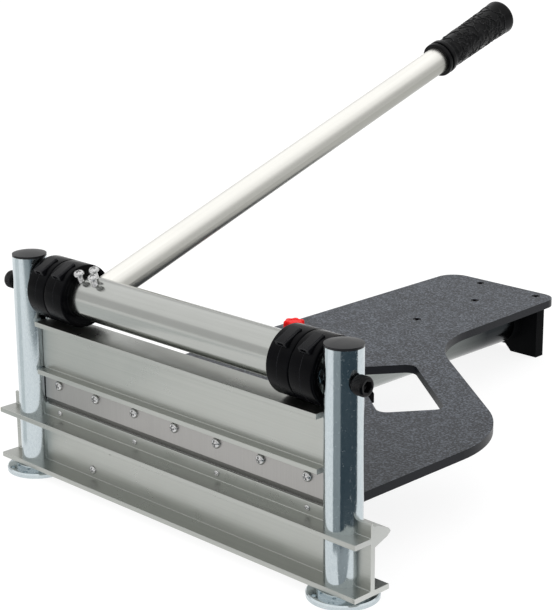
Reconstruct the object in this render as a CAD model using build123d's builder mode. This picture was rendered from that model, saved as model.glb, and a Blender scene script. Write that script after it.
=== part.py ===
from build123d import *
from math import cos, radians, sin, sqrt
import os

os.makedirs("parts", exist_ok=True)

# Frame: +X along the cut, +Y to the rear over the table, +Z up.
# Origin on the floor, midway between the two post axes.

# ---- posts and feet -------------------------------------------------------
POST_X = 188.7
POST_R = 15.35
POST_BORE_R = 12.35
POST_BOTTOM = 3.0
POST_TOP = 201.1
FIT = 0.05
CAP_RIM = 2.0
CAP_DOME = 1.6
CAP_SPIGOT = 10.0
CAP_ROUND = 74.0
FOOT_R = 29.0
FOOT_RIM = 4.2
FOOT_HUB_R = 21.0
FOOT_TOP = 8.1
FOOT_HOLE_R = 2.2
FOOT_HOLE_DX = 9.0
FOOT_HOLE_DY = 23.4

# ---- fixed beam -----------------------------------------------------------
BASE_HALF = 217.9
WEB_FRONT = -1.4
WEB_BACK = 3.3
FLANGE_FRONT = -19.3
FLANGE_BACK = 19.7
LOW_FLANGE_TOP = 12.5
TOP_FLANGE_UNDER = 51.5
TOP_FLANGE_TOP = 55.9
FIN_TOP = 67.2
FIN_BACK = 1.2
SLOT_BACK = 4.2
SLOT_FLOOR = 56.5
WING = ((3.3, 47.5), (17.5, 52.6), (21.0, 55.8), (18.9, 58.6), (4.2, 65.2))
EDGE_ROUND = 0.6
STRIP_TOP = 67.0
STRIP_FLOOR = 57.2
STRIP_HALF = 172.0

# ---- screws: head radius and height, shank radius and length, cross width --
SMALL_SCREW = (2.7, 1.8, 1.5, 5.2, 2.6)
WEB_SCREW = (4.0, 2.2, 2.5, 14.0, 4.0)
BLADE_SCREW = (4.6, 3.1, 2.5, 6.3, 5.0)
CLAMP_SCREW = (4.75, 3.2, 2.5, 4.8)
LEG_BOLT = (7.0, 4.0, 4.0, 29.0, 7.0)
CROSS_ASPECT = 0.26
CROSS_DEPTH = 0.9
HEAD_DOME = 0.55
SMALL_HOLE_R = 1.6
STRIP_HOLE_R = 1.55
M5_HOLE_R = 2.55
BLADE_HOLE_R = 2.6
M8_HOLE_R = 4.05
THROUGH = 60.0
PITCH = 50.8
BLADE_SCREW_Z = 87.8
BLADE_SCREW_STEPS = range(-3, 4)
FIN_SCREW_Z = 61.7
FIN_SCREW_STEPS = (-3, -1, 1, 3)
WEB_SCREW_XZ = ((-109.0, 19.9), (-83.8, 44.6))

# ---- moving beam ----------------------------------------------------------
CROSS_HALF = 170.85
TONGUE_HALF = 178.5
CROSS_TOP = 145.6
CROSS_TOP_UNDER = 141.2
CROSS_LOW_TOP = 101.1
CROSS_LOW_UNDER = 96.7
CROSS_FRONT = -11.4
CROSS_LOW_FRONT = -10.5
CROSS_BACK = 19.4
HANGER_FRONT = 1.4
HANGER_BACK = 5.4
HANGER_BOTTOM = 76.0
BLADE_FRONT = -1.1
BLADE_HALF = 172.0
BLADE_TOP = 96.0
BEVEL_TOP = 72.9
BLADE_EDGE = 67.5
BLADE_LAND = 0.2

# ---- guides inside the posts ----------------------------------------------
GUIDE_GAP = 0.4
GUIDE_X = 1.5
GUIDE_DEPTH = 9.0
SLIDER_SLOT = 10.0
GUIDE_BOTTOM = 99.9
GUIDE_TOP = 157.0
SLIDER_R = 12.1
SLIDER_BOTTOM = 104.0
SLIDER_TOP = 139.0
SPRING_R = 9.0
SPRING_WIRE = 1.2
SPRING_TURNS = 12
SPRING_GAP = 0.2

# ---- roller ---------------------------------------------------------------
PIVOT_Y = -2.8
PIVOT_Z = 175.3
ROLLER_Y = 10.3
ROLLER_Z = 174.0
ROLLER_R = 19.5
ROLLER_BORE_R = 18.0
ROLLER_HALF = 168.4
PLUG_LIP = 2.0
PLUG_DEPTH = 18.0
PIN_R = 4.0
SHANK_R = 5.0
HEAD_R = 8.0
HEAD_IN = 204.3
HEAD_OUT = 214.6
SHANK_END = 171.7
PIN_END = 154.0
HEX_FLATS = 8.0
HEX_DEPTH = 5.0
WASHER_IN = 171.7
WASHER_OUT = 173.2
RING_R = 27.9
RING_W = 23.5
RING_XS = (-159.65, -135.65, 135.65, 159.65)
RING_STEP_R = 24.0
RING_STEP = 1.2
CLIP_TILT = 24.4
CLIP_W = 11.0
CLIP_TOP = 29.5
CLIP_T = 3.7
CLIP_REAR = 7.0
CLIP_FRONT = 13.5

# ---- handle ---------------------------------------------------------------
HANDLE_X = -108.0
HANDLE_TILT = 18.67
HANDLE_LIFT = 2.5
HANDLE_R = 13.25
HANDLE_WALL = 2.0
HANDLE_START = -4.0
HANDLE_END = 574.0
SOCKET_HALF = 20.0
CLAMP_SCREWS = ((-9.4, -4.0, 14.0), (9.4, -4.0, 14.0), (0.0, 5.6, 15.9))
CLAMP_UNDER_HEAD = 26.0
CLAMP_HOLE_R = 2.55
GRIP_START = 476.0
GRIP_END = 584.0
GRIP_COLLAR = ((17.2, 0.0), (17.5, 4.0), (15.9, 4.6), (15.9, 6.4), (17.5, 7.0),
               (17.3, 12.0), (15.3, 13.0), (15.6, 55.0))
GRIP_TAIL = ((16.5, -16.0), (17.8, -5.0), (18.0, -2.0), (16.8, 0.0), (0.0, 0.8))
GRIP_SEAT = 0.2

# ---- table ----------------------------------------------------------------
TABLE_TOP = 67.2
TABLE_T = 8.0
TABLE_LEFT = -185.0
TABLE_RIGHT = 172.0
TABLE_FRONT = 21.8
TABLE_REAR = 587.5
NECK_RIGHT = -31.5
REAR_RIGHT = -39.0
SLANT = 36.55
SLANT_OFFSET = 281.5
CORNER_FRONT_R = 4.0
CORNER_SIDE_R = 114.0
CORNER_NECK_R = 106.0
CORNER_REAR_R = 18.0
CORNER_LEFT_R = 22.0
GRASP_X = 28.6
GRASP_Y = 246.5
GRASP_L = 126.0
GRASP_W = 61.0
GRASP_TILT = 37.0
GRASP_R = 10.0
SPINE_X = -96.4
SPINE_SCREW_YS = (327.5, 422.5, 517.5)
LEG_SCREW_DX = 37.5
LEG_SCREW_Y = 574.5
TABLE_HEAD_R = 4.3
TABLE_SHANK_R = 2.5
TABLE_SCREW_LEN = 20.0
TABLE_SCREW_SINK = 0.6

# ---- leg and support tube -------------------------------------------------
LEG_FRONT = 570.2
LEG_T = 12.5
LEG_RIGHT = -53.0
LEG_LEFT = -139.8
ARCH_RIGHT = -86.6
ARCH_LEFT = -121.0
ARCH_H = 7.5
TUBE_R = 23.5
TUBE_WALL = 2.0
TUBE_Z = 35.6
TUBE_REAR = 556.6
BLOCK_HALF = 22.0
BLOCK_BOTTOM = 13.2
BLOCK_TOP = 46.8
SPIGOT = 14.0
PAD_FRONT = 328.0
PAD_LEN = 14.2
PAD_PROFILE = ((-13.0, 0.0), (13.0, 0.0), (13.0, 9.4), (8.0, 15.0),
               (-8.0, 15.0), (-13.0, 9.4))

# ---- stop knob ------------------------------------------------------------
KNOB_X = -164.4
KNOB_Y = 310.4
KNOB_R = 8.8
LOBE_R = 2.8
LOBE_AT = 8.2
LOBES = 6
KNOB_BASE = 1.2
KNOB_H = 8.4
KNOB_TAPER = 6.0
STUD_R = 2.5
STUD_UP = 2.0
STUD_HEAD = (6.0, 3.0)
STUD_WASHER_R = 10.0


def save(shape, label):
    """Name one piece and write its file."""
    shape.label = label
    export_step(shape, "parts/" + label + ".step")


def pan_screw(head_r, head_h, shank_r, shank_len, cross):
    """Cross-head screw: underside of the head at Z 0, shank down, head up."""
    with BuildPart() as screw:
        Cylinder(head_r, head_h, align=(Align.CENTER, Align.CENTER, Align.MIN))
        fillet(screw.edges().sort_by(Axis.Z)[-1], head_h * HEAD_DOME)
        Cylinder(shank_r, shank_len, align=(Align.CENTER, Align.CENTER, Align.MAX))
        with Locations((0, 0, head_h)):
            for turn in (0, 90):
                Box(cross, cross * CROSS_ASPECT, head_h * CROSS_DEPTH,
                    rotation=(0, 0, turn), mode=Mode.SUBTRACT)
    return screw.part


def flat_screw(head_r, head_h, shank_r, length):
    """Socket-head screw that sits below a face: top of the head at Z 0."""
    with BuildPart() as screw:
        Cylinder(head_r, head_h, align=(Align.CENTER, Align.CENTER, Align.MAX))
        Cylinder(shank_r, length, align=(Align.CENTER, Align.CENTER, Align.MAX))
        with BuildSketch(Plane.XY):
            RegularPolygon(shank_r, 6)
        extrude(amount=-head_h / 2, mode=Mode.SUBTRACT)
    return screw.part


def front_spot(x, y, z):
    """Place for a screw whose head faces the front."""
    return Location((x, y, z), (90, 0, 0))


# ===========================================================================
# Fixed beam: an extruded section with flanges, a fin and a sloping rear wing
# ===========================================================================
with BuildPart() as base_beam:
    with BuildSketch(Plane.YZ) as base_section:
        with BuildLine():
            Polyline(
                (FLANGE_FRONT, FOOT_TOP), (FLANGE_BACK, FOOT_TOP),
                (FLANGE_BACK, LOW_FLANGE_TOP), (WEB_BACK, LOW_FLANGE_TOP),
                *WING, (SLOT_BACK, SLOT_FLOOR),
                (FIN_BACK, SLOT_FLOOR), (FIN_BACK, FIN_TOP),
                (WEB_FRONT, FIN_TOP), (WEB_FRONT, TOP_FLANGE_TOP),
                (FLANGE_FRONT, TOP_FLANGE_TOP), (FLANGE_FRONT, TOP_FLANGE_UNDER),
                (WEB_FRONT, TOP_FLANGE_UNDER), (WEB_FRONT, LOW_FLANGE_TOP),
                (FLANGE_FRONT, LOW_FLANGE_TOP), close=True,
            )
        make_face()
        fillet(base_section.vertices(), EDGE_ROUND)
    extrude(amount=BASE_HALF, both=True)
    end_len = BASE_HALF - STRIP_HALF
    with Locations(*[(side * (STRIP_HALF + end_len / 2), (FIN_BACK + SLOT_BACK) / 2,
                      (SLOT_FLOOR + WING[-1][1] - EDGE_ROUND) / 2) for side in (-1, 1)]):
        Box(end_len, SLOT_BACK - FIN_BACK + EDGE_ROUND, WING[-1][1] - EDGE_ROUND - SLOT_FLOOR)
    with Locations((-POST_X, 0, 0), (POST_X, 0, 0)):
        Cylinder(POST_R + FIT, 3 * THROUGH, mode=Mode.SUBTRACT)
    with Locations(*[front_spot(n * PITCH, 0, FIN_SCREW_Z) for n in FIN_SCREW_STEPS]):
        Cylinder(SMALL_HOLE_R, 3.6, mode=Mode.SUBTRACT)
    with Locations(*[front_spot(x, 1, z) for x, z in WEB_SCREW_XZ]):
        Cylinder(M5_HOLE_R, 12, mode=Mode.SUBTRACT)
save(base_beam.part, "base_beam")

with BuildPart() as anvil_strip:
    with Locations((0, (FIN_BACK + SLOT_BACK) / 2, (STRIP_FLOOR + STRIP_TOP) / 2)):
        Box(2 * STRIP_HALF, SLOT_BACK - FIN_BACK, STRIP_TOP - STRIP_FLOOR)
    with Locations(*[front_spot(n * PITCH, 2.5, FIN_SCREW_Z) for n in FIN_SCREW_STEPS]):
        Cylinder(STRIP_HOLE_R, 6, mode=Mode.SUBTRACT)
save(anvil_strip.part, "anvil_strip")

small_screw = pan_screw(*SMALL_SCREW)
with BuildPart() as fin_screws:
    with Locations(*[front_spot(n * PITCH, WEB_FRONT, FIN_SCREW_Z)
                     for n in FIN_SCREW_STEPS]):
        add(small_screw)
save(fin_screws.part, "fin_screws")

web_screw = pan_screw(*WEB_SCREW)
with BuildPart() as web_screws:
    with Locations(*[front_spot(x, WEB_FRONT, z) for x, z in WEB_SCREW_XZ]):
        add(web_screw)
save(web_screws.part, "web_screws")

# ===========================================================================
# Posts, caps, feet, springs and sliders
# ===========================================================================
for side, name in ((-1, "left"), (1, "right")):
    with BuildPart() as post:
        with BuildSketch(Plane.XY.offset(POST_BOTTOM)):
            with Locations((side * POST_X, 0)):
                Circle(POST_R)
                Circle(POST_BORE_R, mode=Mode.SUBTRACT)
        extrude(amount=POST_TOP - POST_BOTTOM)
        with Locations((side * (POST_X - POST_R + GUIDE_X), (WEB_FRONT + WEB_BACK) / 2,
                        (GUIDE_BOTTOM + GUIDE_TOP) / 2)):
            Box(GUIDE_DEPTH, WEB_BACK - WEB_FRONT + 2 * GUIDE_GAP,
                GUIDE_TOP - GUIDE_BOTTOM, mode=Mode.SUBTRACT)
        with Locations((side * POST_X, PIVOT_Y, PIVOT_Z)):
            Cylinder(SHANK_R + FIT, THROUGH, rotation=(0, 90, 0), mode=Mode.SUBTRACT)
    save(post.part, "post_" + name)

    with BuildPart() as cap:
        with Locations((side * POST_X, 0, POST_TOP)):
            Cylinder(POST_R, 2 * CAP_RIM, align=(Align.CENTER, Align.CENTER, Align.MIN))
        with Locations((side * POST_X, 0, POST_TOP + CAP_RIM + CAP_DOME - CAP_ROUND)):
            Sphere(CAP_ROUND, mode=Mode.INTERSECT)
        with Locations((side * POST_X, 0, POST_TOP)):
            Cylinder(POST_BORE_R - FIT, CAP_SPIGOT,
                     align=(Align.CENTER, Align.CENTER, Align.MAX))
    save(cap.part, "cap_" + name)

    with BuildPart() as foot:
        with BuildSketch(Plane.XY):
            with Locations((side * POST_X, 0)):
                Circle(FOOT_R)
        extrude(amount=FOOT_RIM)
        chamfer(foot.edges().sort_by(Axis.Z)[-1], 1.0)
        with BuildSketch(Plane.XY):
            with Locations((side * POST_X, 0)):
                Circle(FOOT_HUB_R)
        extrude(amount=FOOT_TOP)
        with BuildSketch(Plane.XY.offset(POST_BOTTOM)):
            with Locations((side * POST_X, 0)):
                Circle(POST_R + FIT)
        extrude(amount=THROUGH, mode=Mode.SUBTRACT)
        with BuildSketch(Plane.XY):
            with Locations((side * POST_X, 0)):
                with GridLocations(2 * FOOT_HOLE_DX, 2 * FOOT_HOLE_DY, 2, 2):
                    Circle(FOOT_HOLE_R)
        extrude(amount=THROUGH, mode=Mode.SUBTRACT)
    save(foot.part, "foot_" + name)

    with BuildPart() as slider:
        with Locations((side * POST_X, 0, (SLIDER_BOTTOM + SLIDER_TOP) / 2)):
            Cylinder(SLIDER_R, SLIDER_TOP - SLIDER_BOTTOM)
        with Locations((side * (TONGUE_HALF - SLIDER_SLOT / 2), (WEB_FRONT + WEB_BACK) / 2,
                        (SLIDER_BOTTOM + SLIDER_TOP) / 2)):
            Box(SLIDER_SLOT, WEB_BACK - WEB_FRONT, THROUGH, mode=Mode.SUBTRACT)
    save(slider.part, "slider_" + name)

    spring_low = POST_BOTTOM + SPRING_WIRE + SPRING_GAP
    spring_high = SLIDER_BOTTOM - SPRING_WIRE - SPRING_GAP
    with BuildPart() as spring:
        with BuildLine() as coil:
            Helix(pitch=(spring_high - spring_low) / SPRING_TURNS,
                  height=spring_high - spring_low, radius=SPRING_R,
                  center=(side * POST_X, 0, spring_low))
        with BuildSketch(Plane(origin=coil.line @ 0, z_dir=coil.line % 0)):
            Circle(SPRING_WIRE)
        sweep()
    save(spring.part, "spring_" + name)

    with BuildPart() as pivot_bolt:
        with Locations((side * (HEAD_IN + HEAD_OUT) / 2, PIVOT_Y, PIVOT_Z)):
            Cylinder(HEAD_R, HEAD_OUT - HEAD_IN, rotation=(0, 90, 0))
        chamfer(pivot_bolt.edges().filter_by(GeomType.CIRCLE), 0.8)
        with Locations((side * (HEAD_IN + SHANK_END) / 2, PIVOT_Y, PIVOT_Z)):
            Cylinder(SHANK_R, HEAD_IN - SHANK_END, rotation=(0, 90, 0))
        with Locations((side * (SHANK_END + PIN_END) / 2, PIVOT_Y, PIVOT_Z)):
            Cylinder(PIN_R, SHANK_END - PIN_END, rotation=(0, 90, 0))
        with BuildSketch(Plane(origin=(side * HEAD_OUT, PIVOT_Y, PIVOT_Z),
                               x_dir=(0, 1, 0), z_dir=(side, 0, 0))):
            RegularPolygon(HEX_FLATS / sqrt(3), 6)
        extrude(amount=-HEX_DEPTH, mode=Mode.SUBTRACT)
    save(pivot_bolt.part, "pivot_bolt_" + name)

    with BuildPart() as washer:
        with Locations((side * (WASHER_IN + WASHER_OUT) / 2, PIVOT_Y, PIVOT_Z)):
            Cylinder(HEAD_R, WASHER_OUT - WASHER_IN, rotation=(0, 90, 0))
            Cylinder(SHANK_R + FIT, 10, rotation=(0, 90, 0), mode=Mode.SUBTRACT)
    save(washer.part, "washer_" + name)

# ===========================================================================
# Moving beam with the blade
# ===========================================================================
with BuildPart() as blade_beam:
    with BuildSketch(Plane.YZ) as cross_section:
        with BuildLine():
            Polyline(
                (CROSS_FRONT, CROSS_TOP), (CROSS_FRONT, CROSS_TOP_UNDER),
                (WEB_FRONT, CROSS_TOP_UNDER), (WEB_FRONT, CROSS_LOW_TOP),
                (CROSS_LOW_FRONT, CROSS_LOW_TOP), (CROSS_LOW_FRONT, CROSS_LOW_UNDER),
                (HANGER_FRONT, CROSS_LOW_UNDER), (HANGER_FRONT, HANGER_BOTTOM),
                (HANGER_BACK, HANGER_BOTTOM), (HANGER_BACK, CROSS_LOW_UNDER),
                (CROSS_BACK, CROSS_LOW_UNDER), (CROSS_BACK, CROSS_LOW_TOP),
                (WEB_BACK, CROSS_LOW_TOP), (WEB_BACK, CROSS_TOP_UNDER),
                (CROSS_BACK, CROSS_TOP_UNDER), (CROSS_BACK, CROSS_TOP), close=True,
            )
        make_face()
        fillet(cross_section.vertices(), EDGE_ROUND)
    extrude(amount=CROSS_HALF, both=True)
    with Locations((0, (WEB_FRONT + WEB_BACK) / 2, (SLIDER_BOTTOM + SLIDER_TOP) / 2)):
        Box(2 * TONGUE_HALF, WEB_BACK - WEB_FRONT, CROSS_TOP_UNDER - CROSS_LOW_TOP)
    with Locations(*[front_spot(n * PITCH, (HANGER_FRONT + HANGER_BACK) / 2, BLADE_SCREW_Z)
                     for n in BLADE_SCREW_STEPS]):
        Cylinder(M5_HOLE_R, 8, mode=Mode.SUBTRACT)
save(blade_beam.part, "blade_beam")

with BuildPart() as blade:
    with BuildSketch(Plane.YZ):
        with BuildLine():
            Polyline(
                (BLADE_FRONT, BLADE_TOP), (BLADE_FRONT, BEVEL_TOP),
                (HANGER_FRONT - BLADE_LAND, BLADE_EDGE), (HANGER_FRONT, BLADE_EDGE),
                (HANGER_FRONT, BLADE_TOP), close=True,
            )
        make_face()
    extrude(amount=BLADE_HALF, both=True)
    with Locations(*[front_spot(n * PITCH, 0, BLADE_SCREW_Z) for n in BLADE_SCREW_STEPS]):
        Cylinder(BLADE_HOLE_R, 6, mode=Mode.SUBTRACT)
save(blade.part, "blade")

blade_screw = pan_screw(*BLADE_SCREW)
with BuildPart() as blade_screws:
    with Locations(*[front_spot(n * PITCH, BLADE_FRONT, BLADE_SCREW_Z)
                     for n in BLADE_SCREW_STEPS]):
        add(blade_screw)
save(blade_screws.part, "blade_screws")

# ===========================================================================
# Roller: tube, end plugs and clip-on rings, all off the pivot's centre
# ===========================================================================
TILT_C = cos(radians(HANDLE_TILT))
TILT_S = sin(radians(HANDLE_TILT))
along = Vector(0, TILT_C, TILT_S)
above = Vector(0, -TILT_S, TILT_C)
roller_at = Vector(HANDLE_X, ROLLER_Y, ROLLER_Z)
handle_at = roller_at + above * HANDLE_LIFT
clamp_planes = []
for dx, run, tip in CLAMP_SCREWS:
    spot = roller_at + Vector(dx, 0, 0) + along * run + above * CLAMP_UNDER_HEAD
    clamp_planes.append((Plane(origin=spot, x_dir=(1, 0, 0), z_dir=above), tip))

with BuildPart() as roller_tube:
    with BuildSketch(Plane.YZ):
        with Locations((ROLLER_Y, ROLLER_Z)):
            Circle(ROLLER_R)
            Circle(ROLLER_BORE_R, mode=Mode.SUBTRACT)
    extrude(amount=ROLLER_HALF, both=True)
    with BuildSketch(Plane(origin=handle_at, x_dir=(1, 0, 0), z_dir=along)):
        Circle(HANDLE_R + FIT)
    extrude(amount=THROUGH, mode=Mode.SUBTRACT)
    for plane, tip in clamp_planes:
        with BuildSketch(plane):
            Circle(CLAMP_HOLE_R)
        extrude(amount=-CLAMP_UNDER_HEAD + tip, mode=Mode.SUBTRACT)
save(roller_tube.part, "roller_tube")

with BuildPart() as handle_socket:
    with BuildSketch(Plane.YZ.offset(HANDLE_X)):
        with Locations((ROLLER_Y, ROLLER_Z)):
            Circle(ROLLER_BORE_R - FIT)
    extrude(amount=SOCKET_HALF, both=True)
    with BuildSketch(Plane(origin=handle_at + along * (HANDLE_START - 0.2),
                           x_dir=(1, 0, 0), z_dir=along)):
        Circle(HANDLE_R + FIT)
    extrude(amount=THROUGH, mode=Mode.SUBTRACT)
    for plane, tip in clamp_planes:
        with BuildSketch(plane):
            Circle(CLAMP_HOLE_R)
        extrude(amount=-CLAMP_UNDER_HEAD + tip, mode=Mode.SUBTRACT)
save(handle_socket.part, "handle_socket")

with BuildPart() as handle_screws:
    for plane, tip in clamp_planes:
        with Locations(plane.location):
            add(pan_screw(*CLAMP_SCREW[:3], CLAMP_UNDER_HEAD - tip - 0.1, CLAMP_SCREW[3]))
save(handle_screws.part, "handle_screws")

for side, name in ((-1, "left"), (1, "right")):
    with BuildPart() as roller_plug:
        with BuildSketch(Plane.YZ.offset(side * ROLLER_HALF)):
            with Locations((ROLLER_Y, ROLLER_Z)):
                Circle(ROLLER_R)
        extrude(amount=side * PLUG_LIP)
        with BuildSketch(Plane.YZ.offset(side * ROLLER_HALF)):
            with Locations((ROLLER_Y, ROLLER_Z)):
                Circle(ROLLER_BORE_R - FIT)
        extrude(amount=-side * PLUG_DEPTH)
        with Locations((side * ROLLER_HALF, PIVOT_Y, PIVOT_Z)):
            Cylinder(PIN_R + FIT, THROUGH, rotation=(0, 90, 0), mode=Mode.SUBTRACT)
    save(roller_plug.part, "roller_plug_" + name)

ring_names = ("left_outer", "left_inner", "right_inner", "right_outer")
for ring_x, name in zip(RING_XS, ring_names):
    with BuildPart() as cam_ring:
        with BuildSketch(Plane.YZ.offset(ring_x)):
            with Locations((ROLLER_Y, ROLLER_Z)):
                Circle(RING_R)
        extrude(amount=RING_W / 2, both=True)
        chamfer(cam_ring.edges().filter_by(GeomType.CIRCLE), 0.8)
        with BuildSketch(Plane(origin=(ring_x, ROLLER_Y, ROLLER_Z), x_dir=(1, 0, 0),
                               z_dir=(0, -sin(radians(CLIP_TILT)), cos(radians(CLIP_TILT)))
                               ).offset(CLIP_TOP)):
            with Locations((0, (CLIP_REAR - CLIP_FRONT) / 2)):
                Rectangle(CLIP_W, CLIP_REAR + CLIP_FRONT)
        extrude(amount=-CLIP_T)
        with BuildSketch(Plane.YZ.offset(ring_x)):
            with Locations((ROLLER_Y, ROLLER_Z)):
                Circle(ROLLER_R + FIT)
        extrude(amount=RING_W, both=True, mode=Mode.SUBTRACT)
        for face in (-1, 1):
            with BuildSketch(Plane.YZ.offset(ring_x + face * RING_W / 2)):
                with Locations((ROLLER_Y, ROLLER_Z)):
                    Circle(RING_STEP_R)
            extrude(amount=-face * RING_STEP, mode=Mode.SUBTRACT)
    save(cam_ring.part, "cam_ring_" + name)

# ===========================================================================
# Handle
# ===========================================================================
with BuildPart() as handle_tube:
    with BuildSketch(Plane(origin=handle_at + along * HANDLE_START,
                           x_dir=(1, 0, 0), z_dir=along)):
        Circle(HANDLE_R)
        Circle(HANDLE_R - HANDLE_WALL, mode=Mode.SUBTRACT)
    extrude(amount=HANDLE_END - HANDLE_START)
save(handle_tube.part, "handle_tube")

with BuildPart() as handle_grip:
    with BuildSketch(Plane(origin=handle_at, x_dir=(1, 0, 0), z_dir=above)):
        with BuildLine():
            Polyline(
                (HANDLE_R + FIT, GRIP_START),
                *[(r, GRIP_START + run) for r, run in GRIP_COLLAR],
                *[(r, GRIP_END + run) for r, run in GRIP_TAIL],
                (0, HANDLE_END + GRIP_SEAT), (HANDLE_R + FIT, HANDLE_END + GRIP_SEAT),
                close=True,
            )
        make_face()
    revolve(axis=Axis(origin=handle_at, direction=along))
save(handle_grip.part, "handle_grip")

# ===========================================================================
# Table board
# ===========================================================================
slant_c = cos(radians(SLANT))
slant_s = sin(radians(SLANT))
slant_y_right = (SLANT_OFFSET - slant_s * TABLE_RIGHT) / slant_c
slant_y_neck = (SLANT_OFFSET - slant_s * NECK_RIGHT) / slant_c
outline = (
    ((TABLE_LEFT, TABLE_FRONT), CORNER_FRONT_R),
    ((TABLE_RIGHT, TABLE_FRONT), CORNER_FRONT_R),
    ((TABLE_RIGHT, slant_y_right), CORNER_SIDE_R),
    ((NECK_RIGHT, slant_y_neck), CORNER_NECK_R),
    ((REAR_RIGHT, TABLE_REAR), CORNER_REAR_R),
    ((TABLE_LEFT, TABLE_REAR), CORNER_LEFT_R),
)
table_screw_spots = [(SPINE_X, y, TABLE_TOP - TABLE_SCREW_SINK) for y in SPINE_SCREW_YS]
for dx in (-LEG_SCREW_DX, LEG_SCREW_DX):
    table_screw_spots.append((SPINE_X + dx, LEG_SCREW_Y, TABLE_TOP - TABLE_SCREW_SINK))

with BuildPart() as table_board:
    with BuildSketch(Plane.XY.offset(TABLE_TOP - TABLE_T)) as board:
        with BuildLine():
            Polyline(*[spot for spot, _ in outline], close=True)
        make_face()
        for spot, radius in outline:
            corner = board.vertices().sort_by_distance((*spot, 0))[0]
            fillet(corner, radius)
        with Locations(Location((GRASP_X, GRASP_Y, 0), (0, 0, -GRASP_TILT))):
            RectangleRounded(GRASP_L, GRASP_W, GRASP_R, mode=Mode.SUBTRACT)
    extrude(amount=TABLE_T)
    with Locations(*table_screw_spots):
        Cylinder(TABLE_HEAD_R + FIT, THROUGH, mode=Mode.SUBTRACT)
    with Locations((KNOB_X, KNOB_Y, TABLE_TOP)):
        Cylinder(STUD_R + FIT, THROUGH, mode=Mode.SUBTRACT)
save(table_board.part, "table_board")

table_screw = flat_screw(TABLE_HEAD_R, TABLE_T - TABLE_SCREW_SINK, TABLE_SHANK_R,
                         TABLE_SCREW_LEN)
with BuildPart() as table_screws:
    with Locations(*table_screw_spots):
        add(table_screw)
save(table_screws.part, "table_screws")

# ===========================================================================
# Leg, support tube and the blocks that hold it
# ===========================================================================
with BuildPart() as table_leg:
    with BuildSketch(Plane.XZ.offset(-LEG_FRONT)):
        with BuildLine():
            Polyline(
                (LEG_LEFT, 0), (ARCH_LEFT, 0), (ARCH_LEFT + ARCH_H, ARCH_H),
                (ARCH_RIGHT - ARCH_H, ARCH_H), (ARCH_RIGHT, 0), (LEG_RIGHT, 0),
                (LEG_RIGHT, TABLE_TOP - TABLE_T), (LEG_LEFT, TABLE_TOP - TABLE_T),
                close=True,
            )
        make_face()
    extrude(amount=-LEG_T)
    with Locations(*table_screw_spots[-2:]):
        Cylinder(TABLE_SHANK_R + FIT, THROUGH, mode=Mode.SUBTRACT)
    with Locations((SPINE_X, LEG_FRONT, TUBE_Z)):
        Cylinder(M8_HOLE_R, THROUGH, rotation=(90, 0, 0), mode=Mode.SUBTRACT)
save(table_leg.part, "table_leg")

with BuildPart() as support_tube:
    with BuildSketch(Plane.XZ.offset(-TABLE_FRONT)):
        with Locations((SPINE_X, TUBE_Z)):
            Circle(TUBE_R)
            Circle(TUBE_R - TUBE_WALL, mode=Mode.SUBTRACT)
    extrude(amount=-(TUBE_REAR - TABLE_FRONT))
    with Locations(*[(SPINE_X, y, TABLE_TOP) for y in SPINE_SCREW_YS]):
        Cylinder(TABLE_SHANK_R + FIT, THROUGH, mode=Mode.SUBTRACT)
save(support_tube.part, "support_tube")

with BuildPart() as tube_block:
    with Locations((SPINE_X, (WEB_BACK + TABLE_FRONT) / 2, (BLOCK_BOTTOM + BLOCK_TOP) / 2)):
        Box(2 * BLOCK_HALF, TABLE_FRONT - WEB_BACK, BLOCK_TOP - BLOCK_BOTTOM)
    with BuildSketch(Plane.XZ.offset(-TABLE_FRONT)):
        with Locations((SPINE_X, TUBE_Z)):
            Circle(TUBE_R - TUBE_WALL - FIT)
    extrude(amount=-SPIGOT)
    with Locations(*[front_spot(x, 8, z) for x, z in WEB_SCREW_XZ]):
        Cylinder(M5_HOLE_R, 14, mode=Mode.SUBTRACT)
save(tube_block.part, "tube_block")

with BuildPart() as tube_end_plug:
    with BuildSketch(Plane.XZ.offset(-TUBE_REAR)):
        with Locations((SPINE_X, TUBE_Z)):
            Circle(TUBE_R)
    extrude(amount=-(LEG_FRONT - TUBE_REAR))
    with BuildSketch(Plane.XZ.offset(-TUBE_REAR)):
        with Locations((SPINE_X, TUBE_Z)):
            Circle(TUBE_R - TUBE_WALL - FIT)
    extrude(amount=SPIGOT)
    with Locations((SPINE_X, LEG_FRONT, TUBE_Z)):
        Cylinder(M8_HOLE_R, THROUGH, rotation=(90, 0, 0), mode=Mode.SUBTRACT)
save(tube_end_plug.part, "tube_end_plug")

with BuildPart() as leg_bolt:
    with Locations(Location((SPINE_X, LEG_FRONT + LEG_T, TUBE_Z), (-90, 0, 0))):
        add(pan_screw(*LEG_BOLT))
save(leg_bolt.part, "leg_bolt")

with BuildPart() as tube_pad:
    with BuildSketch(Plane.XZ.offset(-PAD_FRONT)):
        with BuildLine():
            Polyline(*[(SPINE_X + x, z) for x, z in PAD_PROFILE], close=True)
        make_face()
    extrude(amount=-PAD_LEN)
    with Locations((SPINE_X, PAD_FRONT, TUBE_Z)):
        Cylinder(TUBE_R + FIT, THROUGH, rotation=(90, 0, 0), mode=Mode.SUBTRACT)
save(tube_pad.part, "tube_pad")

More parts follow.
